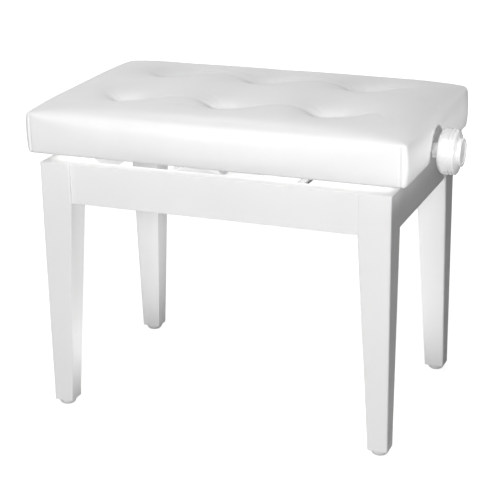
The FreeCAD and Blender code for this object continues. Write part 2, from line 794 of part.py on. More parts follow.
# ------------------------------------------------------------------ the seat
def arched_face(half, bottom, edge, top, radius, along, up, centre):
    """An upright outline with rounded shoulders and a gently arched top."""
    def at(a, b):
        return centre + along * a + up * b

    lean = radius * (1 - math.sqrt(0.5))
    pieces = [
        Part.LineSegment(at(-half, edge - radius), at(-half, bottom)).toShape(),
        Part.LineSegment(at(-half, bottom), at(half, bottom)).toShape(),
        Part.LineSegment(at(half, bottom), at(half, edge - radius)).toShape(),
        Part.Arc(at(half, edge - radius), at(half - lean, edge - lean),
                 at(half - radius, edge)).toShape(),
        Part.Arc(at(half - radius, edge), at(0, top), at(radius - half, edge)).toShape(),
        Part.Arc(at(radius - half, edge), at(lean - half, edge - lean),
                 at(-half, edge - radius)).toShape(),
    ]
    return Part.Face(Part.Wire(pieces))


def tuft_places():
    rows = grid(TUFT_ROWS, TUFT_PITCH_Y)
    columns = grid(TUFT_COLUMNS, TUFT_PITCH_X)
    return [(x, y) for y in rows for x in columns]


def pillow(inset, bottom):
    """The seat's outer form, moved in by the inset all round, with a funnel at each tuft."""
    half_x, half_y = seat_half_x - inset, seat_half_y - inset
    edge, top = seat_edge - inset, seat_top - inset
    radius = SEAT_EDGE_RADIUS - inset
    lengthwise = arched_face(half_x, bottom, edge, top, radius, X, Z, V(0, -half_y, 0))
    crosswise = arched_face(half_y, bottom, edge, top, radius, Y, Z, V(-half_x, 0, 0))
    body = lengthwise.extrude(Y * 2 * half_y).common(crosswise.extrude(X * 2 * half_x))
    funnels = [funnel(x, y, inset) for x, y in tuft_places()]
    return body.cut(funnels)


def funnel(x, y, inset):
    """The hollow round a tuft button: a flat floor under a flared wall."""
    floor = tuft_floor - inset
    foot = BUTTON_RADIUS + BUTTON_PLAY + inset
    profile = [(floor, 0.0), (floor, foot)]
    profile += quarter_round(seat_top, floor, TUFT_RADIUS + inset, foot, 5)[-2::-1]
    profile += [(seat_top, TUFT_RADIUS + inset), (seat_top, 0.0)]
    return lathe(profile, V(x, y, 0), Z, X)


def twine_ways(radius):
    height = seat_top - board_bottom
    return [rod(V(x, y, board_bottom), Z, radius, height) for x, y in tuft_places()]


def cover():
    """The vinyl, down over the sides and turned in under the box as a stapled hem."""
    outer = pillow(0.0, seat_bottom)
    inner = pillow(COVER_THICKNESS, seat_bottom + COVER_THICKNESS)
    inset = COVER_THICKNESS + HEM_WIDTH
    mouth_x, mouth_y = seat_half_x - inset, seat_half_y - inset
    z = (seat_bottom, seat_bottom + 2 * COVER_THICKNESS)
    mouth = block((-mouth_x, mouth_x), (-mouth_y, mouth_y), z)
    origin = V(box_in_x, SPINDLE_SHIFT, seat_pivot_z)
    spindle_way = rod(origin, X, SPINDLE_RADIUS + KNOB_PLAY, seat_half_x - box_in_x)
    shell = outer.cut([inner, mouth, spindle_way])
    return shell.cut(twine_ways(TWINE_RADIUS + SOFT_GAP) + staples())


def foam():
    body = pillow(skin, board_top + SOFT_GAP)
    return body.cut(twine_ways(TWINE_RADIUS + SOFT_GAP))


def buttons():
    made = []
    for x, y in tuft_places():
        origin = V(x, y, tuft_floor + SOFT_GAP)
        dome = quarter_round(BUTTON_HEIGHT, BUTTON_RIM, 0.0, BUTTON_RADIUS, 5)
        profile = [(0.0, 0.0), (0.0, BUTTON_RADIUS)] + dome[::-1] + [(BUTTON_HEIGHT, 0.0)]
        made.append(lathe(profile, origin, Z, X))
    return made


def twines():
    """The twine of each tuft, from its button down through the board to a knot."""
    made = []
    knot_z = board_bottom - SOFT_GAP - TOGGLE_THICKNESS - KNOT_RADIUS
    top = tuft_floor + SOFT_GAP
    for x, y in tuft_places():
        line = rod(V(x, y, knot_z), Z, TWINE_RADIUS, top - knot_z)
        knot = Part.makeSphere(KNOT_RADIUS, V(x, y, knot_z))
        made.append(line.fuse(knot).removeSplitter())
    return made


def toggles():
    """The discs that the twines draw up against the underside of the board."""
    low = board_bottom - SOFT_GAP - TOGGLE_THICKNESS
    inner = TWINE_RADIUS + SOFT_GAP
    return [tube(V(x, y, low), Z, inner, TOGGLE_RADIUS, TOGGLE_THICKNESS).cut(twines())
            for x, y in tuft_places()]


def board_screw_places():
    long_y = box_out_y - BOX_THICKNESS / 2
    short_x = box_out_x - BOX_THICKNESS / 2
    long_x = spread(box_out_x - BOARD_SCREW_INSET, BOARD_SCREW_SPACING)
    short_y = spread((box_in_y - BOARD_SCREW_INSET) / 2, BOARD_SCREW_SPACING)
    places = [(x, side * long_y) for side in (-1, 1) for x in long_x]
    return places + [(side * short_x, y) for side in (-1, 1) for y in short_y]


def board_screws(make=screw):
    """Screws down through the board into the box, their heads flush with its top."""
    seat_z = board_top - BOARD_SCREW[1]
    return [make(BOARD_SCREW, V(x, y, seat_z), Z * -1) for x, y in board_screw_places()]


def round_box_corners(body):
    """Rounds the upright edges that stand in the seat box's outer corners."""
    def in_corner(edge):
        start, end = [v.Point for v in edge.Vertexes]
        outside = abs(start.x) > box_out_x - 0.01 and abs(start.y) > box_out_y - 0.01
        return outside and start.distanceToPoint(V(end.x, end.y, start.z)) < 0.01

    return body.makeFillet(BOX_CORNER_RADIUS, [e for e in body.Edges if in_corner(e)])


def board():
    z = (board_bottom, board_top)
    body = round_box_corners(block((-box_out_x, box_out_x), (-box_out_y, box_out_y), z))
    return body.cut(twine_ways(TWINE_RADIUS + SOFT_GAP) + board_screws())


def box_long():
    """The back wall of the seat box, its full length."""
    body = block((-box_out_x, box_out_x), (box_in_y, box_out_y), (box_bottom, board_bottom))
    body = round_box_corners(body)
    return body.cut(board_screws() + seat_rail_screws() + staples())


def box_short():
    """The right-hand wall of the seat box, between the long ones."""
    body = block((box_in_x, box_out_x), (-box_in_y, box_in_y), (box_bottom, board_bottom))
    return body.cut(board_screws() + staples())


def staple(x, y, along):
    """One staple up through the hem: a crown below it and two legs."""
    half = STAPLE_CROWN / 2
    wire = STAPLE_WIRE / 2
    across = Z.cross(along)
    centre = V(x, y, seat_bottom)

    def bar(a, b, z):
        low = centre + along * a - across * wire + Z * z[0]
        high = centre + along * b + across * wire + Z * z[1]
        return block((low.x, high.x), (low.y, high.y), (low.z, high.z))

    crown = bar(-half, half, (-STAPLE_WIRE, 0.0))
    legs = [bar(-half, STAPLE_WIRE - half, (0.0, STAPLE_LEG)),
            bar(half - STAPLE_WIRE, half, (0.0, STAPLE_LEG))]
    return crown.fuse(legs).removeSplitter()


def staples():
    line_x, line_y = seat_half_x - STAPLE_INSET, seat_half_y - STAPLE_INSET
    count_x = round(2 * line_x / STAPLE_SPACING)
    count_y = round(2 * line_y / STAPLE_SPACING)
    made = []
    for side in (-1, 1):
        made += [staple(x, side * line_y, X) for x in grid(count_x, STAPLE_SPACING)]
        made += [staple(side * line_x, y, Y) for y in grid(count_y - 1, STAPLE_SPACING)]
    return made


# ------------------------------------------------------------------ files
def write(name, *shapes):
    """One STEP file for a node: a solid, or a group of separate solids."""
    solids = [solid for shape in shapes for solid in shape.Solids]
    shape = solids[0] if len(solids) == 1 else Part.makeCompound(solids)
    shape.exportStep(os.path.join("parts", name + ".step"))
    print(f"{name}: {len(solids)} solids, valid {shape.isValid()}, {shape.Volume:.0f} mm3")


os.makedirs("parts", exist_ok=True)

# The frame
for name, across in (("leg_back_right", []), ("leg_back_left", [X]),
                     ("leg_front_right", [Y]), ("leg_front_left", [X, Y])):
    write(name, flip(leg(), across))
write("foot_glides", *four_corners(glide()))
write("foot_screws", *four_corners(glide_screw(cross_screw)))
write("apron_back", long_apron())
write("apron_front", flip(long_apron(), [Y]))
write("apron_right", short_apron())
write("apron_left", flip(short_apron(), [X]))
write("corner_blocks", *four_corners(corner_block()))
write("corner_bolts", *four_corners(hanger_bolt()))
write("corner_nuts", *four_corners(hanger_nut()))
write("corner_screws", *[s for each in block_screws(cross_screw) for s in four_corners(each)])

# The lift's fixed half, on the frame
base_rail = rail(apron_in_y, base_pivot_z, fixed_x, SHAFT_RADIUS, base_rail_screws())
write("base_rail_back", base_rail)
write("base_rail_front", flip(base_rail, [Y]))
write("base_rail_screws", *[s for each in base_rail_screws(cross_screw) for s in two_sides(each)])
write("base_shaft", base_shaft())
write("base_shaft_rings", *base_rings())
write("base_spacers", *base_spacers())

# The scissor arms
write("arm_a_back", arm_a())
write("arm_a_front", flip(arm_a(), [Y]))
write("middle_shaft", middle_shaft())
write("middle_rings", *middle_rings())
write("middle_washers", *middle_washers())
write("arm_b_back", arm_b())
write("arm_b_front", flip(arm_b(), [Y]))
write("slide_shaft", slide_shaft())
write("slide_rings", *slide_rings())
write("lower_shoes", *two_sides(shoe(apron_in_y, base_pivot_z, arm_b_out)))

# The nut
write("nut_block", spindle_block(slide_x, RUNNING_PLAY))
write("nut_shafts", *nut_shafts())
write("nut_rings", *nut_rings())
write("upper_shoes", *two_sides(shoe(box_in_y, seat_pivot_z, arm_a_out)))

# The lift's half on the seat
seat_rail = rail(box_in_y, seat_pivot_z, fixed_x, SHAFT_RADIUS, seat_rail_screws())
write("seat_rail_back", seat_rail)
write("seat_rail_front", flip(seat_rail, [Y]))
write("seat_rail_screws", *[s for each in seat_rail_screws(cross_screw) for s in two_sides(each)])
write("thrust_block", spindle_block(fixed_x, RUNNING_PLAY))
write("seat_shafts", *seat_shafts())
write("seat_rings", *seat_rings())
write("seat_spacers", *seat_spacers())

# The spindle
write("spindle", spindle())
write("spindle_collars", *collars())
write("collar_screws", *collar_screws())
write("knob", knob())
write("knob_screw", knob_screw(cross_screw))
write("knob_cap", knob_cap())

# The seat
bush_seat = V(box_in_x, SPINDLE_SHIFT, seat_pivot_z)
bush_hole = rod(bush_seat, X, SPINDLE_RADIUS + BUSH_WALL, BOX_THICKNESS)
write("box_back", box_long())
write("box_front", flip(box_long(), [Y]))
write("box_right", box_short().cut(bush_hole))
write("box_left", flip(box_short(), [X]))
write("spindle_bush", bush())
write("seat_board", board())
write("board_screws", *board_screws(cross_screw))
write("seat_foam", foam())
write("seat_cover", cover())
write("cover_staples", *staples())
write("tuft_buttons", *buttons())
write("tuft_twines", *twines())
write("tuft_toggles", *toggles())
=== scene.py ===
# %% [markdown]
# # A piano bench with a tufted seat
#
# A white bench: four tapered legs joined by four aprons, and a padded seat that a scissor
# lift raises when its knob is turned. The wood, the steel and every moving part arrive
# ready-made and stay where they are. This lesson gives each of them its finish, sews and
# stuffs the seat, and sets up a plain white studio. Lengths are in metres, +Z is up, and
# the knob is at the +X end.

# %% Load the bench
import json
import math

import bpy
import numpy as np
from mathutils import Matrix, Vector


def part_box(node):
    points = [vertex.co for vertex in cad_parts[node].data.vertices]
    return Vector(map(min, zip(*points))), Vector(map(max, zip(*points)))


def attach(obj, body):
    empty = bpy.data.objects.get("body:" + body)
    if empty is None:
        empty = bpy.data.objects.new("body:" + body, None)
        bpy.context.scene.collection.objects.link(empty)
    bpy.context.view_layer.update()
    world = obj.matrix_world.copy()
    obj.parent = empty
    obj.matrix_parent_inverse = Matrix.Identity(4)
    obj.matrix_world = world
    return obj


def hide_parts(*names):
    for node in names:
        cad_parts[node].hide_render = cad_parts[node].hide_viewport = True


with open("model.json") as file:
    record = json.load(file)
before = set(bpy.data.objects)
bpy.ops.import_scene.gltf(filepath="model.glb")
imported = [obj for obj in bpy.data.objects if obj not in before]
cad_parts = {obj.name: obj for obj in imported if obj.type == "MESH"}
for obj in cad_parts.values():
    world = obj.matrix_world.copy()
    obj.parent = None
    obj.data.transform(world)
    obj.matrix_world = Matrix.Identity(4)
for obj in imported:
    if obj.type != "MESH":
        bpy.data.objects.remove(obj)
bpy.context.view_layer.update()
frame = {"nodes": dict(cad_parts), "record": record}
nodes = frame["nodes"]
cover_low, cover_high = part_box("seat_cover")

# %% [markdown]
# ## The studio
#
# The bench is seen from a little above, from the front right, with its knob near. A long
# lens from two metres off keeps the legs nearly upright. A camera can be aimed with a
# constraint, but this view is also rolled a little, so three turns after one another aim it.

# %% Camera
CAMERA_PLACE = Vector((0.7447, -1.8759, 0.9387))
TURN, TIP, ROLL = math.radians(21.99), math.radians(70.51), math.radians(-1.0)
LENS, SENSOR = 105.8, 36.0

camera = bpy.data.objects.new("camera", bpy.data.cameras.new("camera"))
camera.data.lens = LENS
camera.data.sensor_width = SENSOR
aim = Matrix.Rotation(TURN, 4, "Z") @ Matrix.Rotation(TIP, 4, "X") @ Matrix.Rotation(ROLL, 4, "Z")
camera.matrix_world = Matrix.Translation(CAMERA_PLACE) @ aim
bpy.context.collection.objects.link(camera)
bpy.context.scene.camera = camera
bpy.context.scene.view_settings.view_transform = "Standard"
print("camera", [round(x, 3) for x in camera.location])


# %% Node helpers
def new_material(name):
    """A material with its node tree and its surface shader."""
    material = bpy.data.materials.new(name)
    material.use_nodes = True
    tree = material.node_tree
    return material, tree, tree.nodes["Principled BSDF"]


def add(tree, kind, **values):
    """A node with its settings and its input values given by name."""
    node = tree.nodes.new(kind)
    for key, value in values.items():
        if hasattr(node, key):
            setattr(node, key, value)
        else:
            node.inputs[key.replace("_", " ")].default_value = value
    return node


def wire(tree, *sockets):
    """Joins sockets two by two: output, input, output, input."""
    for out, into in zip(sockets[::2], sockets[1::2]):
        tree.links.new(out, into)

# %% [markdown]
# ## Floor and surroundings
#
# A white bench in a white studio stands on a floor that fades into the background. A curved
# paper sweep would do that in a real studio. Here the world and the floor are white only to
# the rays that look at them, so they cast little light of their own, and the floor keeps
# the bench's soft shadow. Polished pieces see the white world too, but not the white floor:
# that would wash out the dark right faces of the legs.

# %% Surroundings
WORLD_FILL = 0.06

world = bpy.data.worlds.new("studio")
bpy.context.scene.world = world
world.use_nodes = True
sky = world.node_tree
sky_light = sky.nodes["Background"]
sky_light.inputs["Color"].default_value = (1, 1, 1, 1)
seen = add(sky, "ShaderNodeLightPath")
direct = add(sky, "ShaderNodeMath", operation="MAXIMUM")
direct_or_clear = add(sky, "ShaderNodeMath", operation="MAXIMUM")
strength = add(sky, "ShaderNodeMapRange", To_Min=WORLD_FILL, To_Max=1.0)
wire(sky, seen.outputs["Is Camera Ray"], direct.inputs[0],
     seen.outputs["Is Glossy Ray"], direct.inputs[1])
wire(sky, direct.outputs[0], direct_or_clear.inputs[0])
wire(sky, seen.outputs["Is Transmission Ray"], direct_or_clear.inputs[1])
wire(sky, direct_or_clear.outputs[0], strength.inputs["Value"])
wire(sky, strength.outputs[0], sky_light.inputs["Strength"])
print("surroundings: white to look at, giving", WORLD_FILL, "of their light")

# %% Floor
FLOOR_SIZE = 40
FLOOR_GREY = (0.45, 0.45, 0.45, 1)
FLOOR_GLOW = {"From_Min": 0.6, "From_Max": 1.6, "To_Min": 0.82, "To_Max": 1.0}

bpy.ops.mesh.primitive_plane_add(size=FLOOR_SIZE)
floor = bpy.context.object
floor.name = "floor"
floor_material, tree, surface = new_material("floor_white")
surface.inputs["Base Color"].default_value = FLOOR_GREY
surface.inputs["Roughness"].default_value = 1.0
surface.inputs["Specular IOR Level"].default_value = 0.0
surface.inputs["Emission Color"].default_value = (1, 1, 1, 1)
place = add(tree, "ShaderNodeNewGeometry")
away = add(tree, "ShaderNodeVectorMath", operation="LENGTH")
glow = add(tree, "ShaderNodeMapRange", **FLOOR_GLOW)
seen = add(tree, "ShaderNodeLightPath")
amount = add(tree, "ShaderNodeMath", operation="MULTIPLY")
wire(tree, place.outputs["Position"], away.inputs[0], away.outputs["Value"], glow.inputs["Value"])
wire(tree, seen.outputs["Is Camera Ray"], amount.inputs[0], glow.outputs[0], amount.inputs[1])
wire(tree, amount.outputs[0], surface.inputs["Emission Strength"])
floor.data.materials.append(floor_material)
print("floor", FLOOR_SIZE, "metres square")

# %% [markdown]
# ## The lamps
#
# White on white only shows its shape through small differences of tone. One strong lamp
# would burn the front out and leave the rest grey, so eight weak ones share the work. A
# wide one stands at the front left and one hangs overhead. A low one in front reaches the
# far legs under the aprons, and a small one stands beside the viewpoint. Two tiny ones lie
# on the floor and under the seat, where light bouncing between white faces fills the frame
# and the gap. A narrow strip picks out the padded end and the knob but spares the legs
# below them. The last stands behind and shows no glare.

# %% Lamps
GAP_LAMP_DROP = 0.0015
STRIP_SPREAD = math.radians(8)


def lamp(name, place, target, size, watts):
    """A soft light at a place, turned to a target. Its size is its width and its height."""
    light = bpy.data.lights.new(name, "AREA")
    light.shape = "RECTANGLE"
    light.size, light.size_y = size
    light.energy = watts
    holder = bpy.data.objects.new(name, light)
    holder.location = place
    holder.rotation_euler = (Vector(target) - Vector(place)).to_track_quat("-Z", "Y").to_euler()
    holder.visible_camera = False
    bpy.context.collection.objects.link(holder)
    return holder


lamp("key_lamp", (-1.4, -2.2, 1.2), (0, 0, 0.35), (1.2, 1.2), 6.8)
lamp("top_lamp", (-0.05, -1.35, 2.35), (0, 0, 0.4), (1.2, 1.2), 26)
lamp("low_lamp", (-0.2, -2.4, 0.3), (0, 0, 0.2), (0.6, 0.6), 5.2)
lamp("near_lamp", CAMERA_PLACE, (0, 0, 0.3), (0.3, 0.3), 14.5)
lamp("floor_lamp", (0, -0.02, 0.012), (0, -0.02, 1), (0.36, 0.18), 0.7)
lamp("gap_lamp", (0, 0, cover_low.z - GAP_LAMP_DROP), (0, 0, 0), (0.5, 0.3), 0.4)
strip = lamp("end_strip", (1.2, -0.19, 0.39), (0.28, -0.05, 0.416), (0.45, 0.03), 0.06)
strip.data.spread = STRIP_SPREAD
behind = lamp("back_lamp", (-1.2, 2.0, 1.3), (0, 0, 0.3), (1.2, 1.2), 24)
behind.visible_glossy = False

# %% [markdown]
# ## Finishes
#
# Every finish is a small tree of nodes round one shader. A finish has three scales of
# detail: a colour that drifts over the whole piece, a texture that can be seen close to,
# such as grain, and a bump that only shows in a reflection. The textures are solid, so they
# need no unwrapping: they are measured in metres from the origin, and run through a piece
# as grain runs through wood.

# %% Helpers for finishes
def stretched(tree, scale, turned=(0, 0, 0)):
    """Solid texture coordinates, in cells to the metre along X, Y and Z."""
    place = add(tree, "ShaderNodeTexCoord")
    stretch = add(tree, "ShaderNodeMapping", Scale=scale, Rotation=turned)
    wire(tree, place.outputs["Object"], stretch.inputs["Vector"])
    return stretch.outputs["Vector"]


def noise(tree, scale, detail=3.0, rough=0.5, warp=0.0):
    """Cloudy noise with cells of the given size, 0 to 1."""
    clouds = add(tree, "ShaderNodeTexNoise", Scale=1.0, Detail=detail, Roughness=rough,
                 Distortion=warp)
    wire(tree, stretched(tree, scale), clouds.inputs["Vector"])
    return clouds.outputs["Fac"]


def spread_to(tree, value, low, high, start=0.3, end=0.7):
    """Maps a value from start..end onto low..high."""
    ramp = add(tree, "ShaderNodeMapRange", From_Min=start, From_Max=end, To_Min=low, To_Max=high)
    wire(tree, value, ramp.inputs["Value"])
    return ramp.outputs["Result"]


def blend_colors(tree, value, first, second):
    """A colour between two, by a value from 0 to 1. Sockets 6 and 7 are the colours A and B."""
    mix = add(tree, "ShaderNodeMix", data_type="RGBA")
    for socket, color in zip((mix.inputs[6], mix.inputs[7]), (first, second)):
        socket.default_value = (*color, 1)
    wire(tree, value, mix.inputs[0])
    return mix.outputs[2]


def bump(tree, surface, height, depth, under=None):
    """Raises the surface by a height from 0 to 1, times a depth in metres."""
    relief = add(tree, "ShaderNodeBump", Distance=depth)
    wire(tree, height, relief.inputs["Height"], relief.outputs["Normal"], surface.inputs["Normal"])
    if under is not None:
        wire(tree, under, relief.inputs["Normal"])
    return relief.outputs["Normal"]

# %% [markdown]
# ### White lacquer on hardwood
#
# The frame is sprayed with several coats of white satin lacquer. It hides the wood's colour
# but sinks a little into its pores, so faint long grain still shows in a reflection, and
# the spray leaves a fine orange peel. Sharp edges hold less lacquer and are broken with
# sandpaper, which a Bevel node imitates: it bends the light at an edge as if it were
# rounded. The grain runs along each piece, so there is one lacquer for each direction.

# %% Lacquer
def white_lacquer(name, along):
    """White satin lacquer, its grain along X, Y or Z (0, 1 or 2)."""
    material, tree, surface = new_material(name)
    grain_cells = [420.0, 420.0, 420.0]
    grain_cells[along] = 14.0
    long_grain = noise(tree, grain_cells, detail=4, rough=0.6, warp=0.4)
    drift = noise(tree, (7, 7, 7), detail=2)
    peel = noise(tree, (650, 650, 650), detail=1)
    tone = spread_to(tree, drift, 0.0, 1.0)
    wire(tree, blend_colors(tree, tone, (0.872, 0.874, 0.872), (0.902, 0.902, 0.898)),
         surface.inputs["Base Color"])
    wire(tree, spread_to(tree, long_grain, 0.36, 0.46), surface.inputs["Roughness"])
    surface.inputs["Specular IOR Level"].default_value = 0.16
    edge = add(tree, "ShaderNodeBevel", samples=6, Radius=0.0009)
    peeled = bump(tree, surface, peel, 0.00004, edge.outputs["Normal"])
    bump(tree, surface, long_grain, 0.00007, peeled)
    return material

# %% [markdown]
# ### Vinyl
#
# Upholstery vinyl is embossed with a fine leather grain: small rounded pebbles with creases
# between them. Cells whose borders are pressed in give the pebbles, and a second, larger
# set keeps them from looking even. Over the white lies a thin clear top coat, which is what
# makes its soft, wide highlights.

# %% Vinyl
def white_vinyl(name):
    """Embossed white vinyl with a thin clear top coat."""
    material, tree, surface = new_material(name)
    pebble = add(tree, "ShaderNodeTexVoronoi", feature="SMOOTH_F1", Scale=1.0, Smoothness=0.6)
    wire(tree, stretched(tree, (820, 820, 820)), pebble.inputs["Vector"])
    larger = add(tree, "ShaderNodeTexVoronoi", feature="DISTANCE_TO_EDGE", Scale=1.0)
    wire(tree, stretched(tree, (330, 330, 330), (0.4, 0.2, 0.7)), larger.inputs["Vector"])
    drift = noise(tree, (9, 9, 9), detail=3)
    mottle = noise(tree, (120, 120, 120), detail=3)
    tone = spread_to(tree, drift, 0.0, 1.0)
    wire(tree, blend_colors(tree, tone, (0.885, 0.887, 0.889), (0.915, 0.914, 0.91)),
         surface.inputs["Base Color"])
    wire(tree, spread_to(tree, mottle, 0.38, 0.48), surface.inputs["Roughness"])
    surface.inputs["Specular IOR Level"].default_value = 0.35
    surface.inputs["Coat Weight"].default_value = 0.12
    surface.inputs["Coat Roughness"].default_value = 0.28
    creases = spread_to(tree, larger.outputs["Distance"], 0.0, 1.0, 0.0, 0.16)
    pressed = bump(tree, surface, creases, 0.00003)
    bump(tree, surface, pebble.outputs["Distance"], -0.00007, pressed)
    return material

# %% [markdown]
# ### Powder coat, plastic and nylon
#
# The channels and arms of the lift are powder coated: the powder melts into a skin with a
# fine, even ripple. The feet and the shoes are moulded and keep a faint matt bloom from the
# mould. The knob is turned wood under a thick gloss, with rings left by the lathe.

# %% Coated and moulded finishes
def rippled(name, light, dark, rough, ripple_cells, depth, coat=0.0):
    """A skin of paint or plastic with an even ripple and a slight drift of colour."""
    material, tree, surface = new_material(name)
    ripple = noise(tree, [ripple_cells] * 3, detail=2)
    drift = noise(tree, (22, 22, 22), detail=2)
    tone = spread_to(tree, drift, 0.0, 1.0)
    wire(tree, blend_colors(tree, tone, dark, light), surface.inputs["Base Color"])
    wire(tree, spread_to(tree, ripple, rough - 0.05, rough + 0.05), surface.inputs["Roughness"])
    surface.inputs["Coat Weight"].default_value = coat
    surface.inputs["Coat Roughness"].default_value = 0.08
    edge = add(tree, "ShaderNodeBevel", samples=4, Radius=0.0004)
    bump(tree, surface, ripple, depth, edge.outputs["Normal"])
    return material


def turned_gloss(name):
    """Thick white gloss over a turned knob: rings round the axis, which runs along X."""
    material, tree, surface = new_material(name)
    place = add(tree, "ShaderNodeTexCoord")
    split = add(tree, "ShaderNodeSeparateXYZ")
    rings = add(tree, "ShaderNodeTexNoise", noise_dimensions="1D", Scale=900.0, Detail=2.0)
    wire(tree, place.outputs["Object"], split.inputs[0], split.outputs["X"], rings.inputs["W"])
    drift = noise(tree, (40, 40, 40), detail=2)
    tone = spread_to(tree, drift, 0.0, 1.0)
    wire(tree, blend_colors(tree, tone, (0.885, 0.885, 0.885), (0.91, 0.91, 0.905)),
         surface.inputs["Base Color"])
    wire(tree, spread_to(tree, drift, 0.22, 0.30), surface.inputs["Roughness"])
    surface.inputs["Coat Weight"].default_value = 0.6
    surface.inputs["Coat Roughness"].default_value = 0.06
    bump(tree, surface, rings.outputs["Fac"], 0.00003)
    return material

# %% [markdown]
# ### Metals
#
# Zinc plating is a cool grey that has clouded unevenly. Drawn bar is brighter and keeps
# fine lines along its length. The nut is machined brass, with rings where the cutter
# went round. In each of them the roughness does the work, because bare metal shows little
# but its surroundings.

# %% Metal finishes
def metal(name, light, dark, rough, cells, depth):
    """Bare metal whose marks are as long and as close as the cells say, along X, Y and Z."""
    material, tree, surface = new_material(name)
    marks = noise(tree, cells, detail=4, rough=0.65)
    cloud = noise(tree, (60, 60, 60), detail=3)
    tone = spread_to(tree, cloud, 0.0, 1.0)
    wire(tree, blend_colors(tree, tone, dark, light), surface.inputs["Base Color"])
    surface.inputs["Metallic"].default_value = 1.0
    wire(tree, spread_to(tree, marks, rough - 0.08, rough + 0.1), surface.inputs["Roughness"])
    bump(tree, surface, marks, depth)
    return material

# %% [markdown]
# ### Painted plywood and foam
#
# The seat's board is birch plywood. Its edge shows the plies, light and dark by turns. Its
# faces have one thin coat of white paint, which sinks in, so the veneer's grain still shows
# as fine grey lines. Foam is a sponge of tiny cells.

# %% Plywood and foam
LEVEL_FACE = 0.7  # a face is level where its normal's upright part is larger than this


def plywood(name, plies_low, ply):
    """Birch plywood: plies up its edge, from the board's underside, and paint on its faces."""
    material, tree, surface = new_material(name)
    place = add(tree, "ShaderNodeTexCoord")
    split = add(tree, "ShaderNodeSeparateXYZ")
    layer = add(tree, "ShaderNodeMath", operation="SUBTRACT")
    layer.inputs[1].default_value = plies_low
    count = add(tree, "ShaderNodeMath", operation="DIVIDE")
    count.inputs[1].default_value = 2 * ply
    turn = add(tree, "ShaderNodeMath", operation="FRACT")
    step = add(tree, "ShaderNodeMath", operation="GREATER_THAN")
    step.inputs[1].default_value = 0.5
    wire(tree, place.outputs["Object"], split.inputs[0], split.outputs["Z"], layer.inputs[0],
         layer.outputs[0], count.inputs[0], count.outputs[0], turn.inputs[0],
         turn.outputs[0], step.inputs[0])
    veneer = noise(tree, (5, 90, 90), detail=5, rough=0.6, warp=0.8)
    tone = spread_to(tree, veneer, 0.0, 1.0)
    pale = blend_colors(tree, tone, (0.66, 0.50, 0.32), (0.80, 0.66, 0.46))
    dark = blend_colors(tree, tone, (0.42, 0.28, 0.16), (0.52, 0.36, 0.21))
    paint = blend_colors(tree, tone, (0.80, 0.79, 0.77), (0.88, 0.88, 0.87))
    plies = add(tree, "ShaderNodeMix", data_type="RGBA")
    wire(tree, step.outputs[0], plies.inputs[0], pale, plies.inputs[6], dark, plies.inputs[7])
    facing = add(tree, "ShaderNodeNewGeometry")
    upright = add(tree, "ShaderNodeSeparateXYZ")
    level = add(tree, "ShaderNodeMath", operation="ABSOLUTE")
    flat = add(tree, "ShaderNodeMath", operation="GREATER_THAN")
    flat.inputs[1].default_value = LEVEL_FACE
    wire(tree, facing.outputs["Normal"], upright.inputs[0], upright.outputs["Z"], level.inputs[0],
         level.outputs[0], flat.inputs[0])
    faces = add(tree, "ShaderNodeMix", data_type="RGBA")
    wire(tree, flat.outputs[0], faces.inputs[0], plies.outputs[2], faces.inputs[6],
         paint, faces.inputs[7], faces.outputs[2], surface.inputs["Base Color"])
    surface.inputs["Roughness"].default_value = 0.62
    bump(tree, surface, veneer, 0.0001)
    return material


def porous(name, light, dark, cells, depth):
    """A soft, matt stuff full of small hollows, such as foam or twisted twine."""
    material, tree, surface = new_material(name)
    hollow = add(tree, "ShaderNodeTexVoronoi", feature="F1", Scale=1.0)
    wire(tree, stretched(tree, cells), hollow.inputs["Vector"])
    wire(tree, blend_colors(tree, hollow.outputs["Distance"], light, dark),
         surface.inputs["Base Color"])
    surface.inputs["Roughness"].default_value = 0.9
    bump(tree, surface, hollow.outputs["Distance"], depth)
    return material

# %% [markdown]
# ### One finish for every piece
#
# Each piece of the bench names what it is finished in. Pieces of one kind share a finish,
# except where its grain has to turn with the piece.

# %% Finish for every node
board_low, board_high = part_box("seat_board")
PLIES = 9
CREAM = (0.86, 0.85, 0.80)
BRIGHT, DULL = (0.64, 0.64, 0.65), (0.55, 0.55, 0.56)
FINISHES = {
    "lacquered_wood": white_lacquer("white_lacquer_upright", 2),
    "white_steel": rippled("powder_coat", (0.87, 0.87, 0.87), (0.83, 0.83, 0.83),
                           0.45, 1500, 0.00006),
    "glide_plastic": rippled("white_plastic", (0.89, 0.89, 0.88), (0.86, 0.86, 0.85),
                             0.42, 2600, 0.00002),
    "lacquered_knob": turned_gloss("knob_gloss"),
    "vinyl": white_vinyl("white_vinyl"),
    "plywood": plywood("birch_plywood", board_low.z, (board_high.z - board_low.z) / PLIES),
    "zinc_steel": metal("zinc_plate", (0.70, 0.71, 0.73), (0.58, 0.59, 0.61),
                        0.34, (700, 700, 700), 0.00002),
    "bright_steel": metal("drawn_bar", BRIGHT, DULL, 0.24, (1800, 30, 1800), 0.00001),
    "brass": metal("machined_brass", (0.80, 0.60, 0.28), (0.66, 0.47, 0.20),
                   0.3, (1600, 260, 260), 0.00001),
    "nylon": rippled("natural_nylon", CREAM, (0.80, 0.79, 0.73), 0.48, 1900, 0.00003),
    "foam": porous("seat_foam", (0.86, 0.80, 0.56), (0.62, 0.55, 0.34),
                   (1500, 1500, 1500), 0.0004),
    "twine": porous("waxed_twine", (0.80, 0.77, 0.70), (0.55, 0.52, 0.45),
                    (2600, 2600, 900), 0.0003),
}
long_lacquer = white_lacquer("white_lacquer_long", 0)
short_lacquer = white_lacquer("white_lacquer_short", 1)
TURNED = {"spindle": metal("rolled_thread", BRIGHT, DULL, 0.24, (30, 1800, 1800), 0.00001)}
for wall in ("apron_front", "apron_back", "box_front", "box_back"):
    TURNED[wall] = long_lacquer
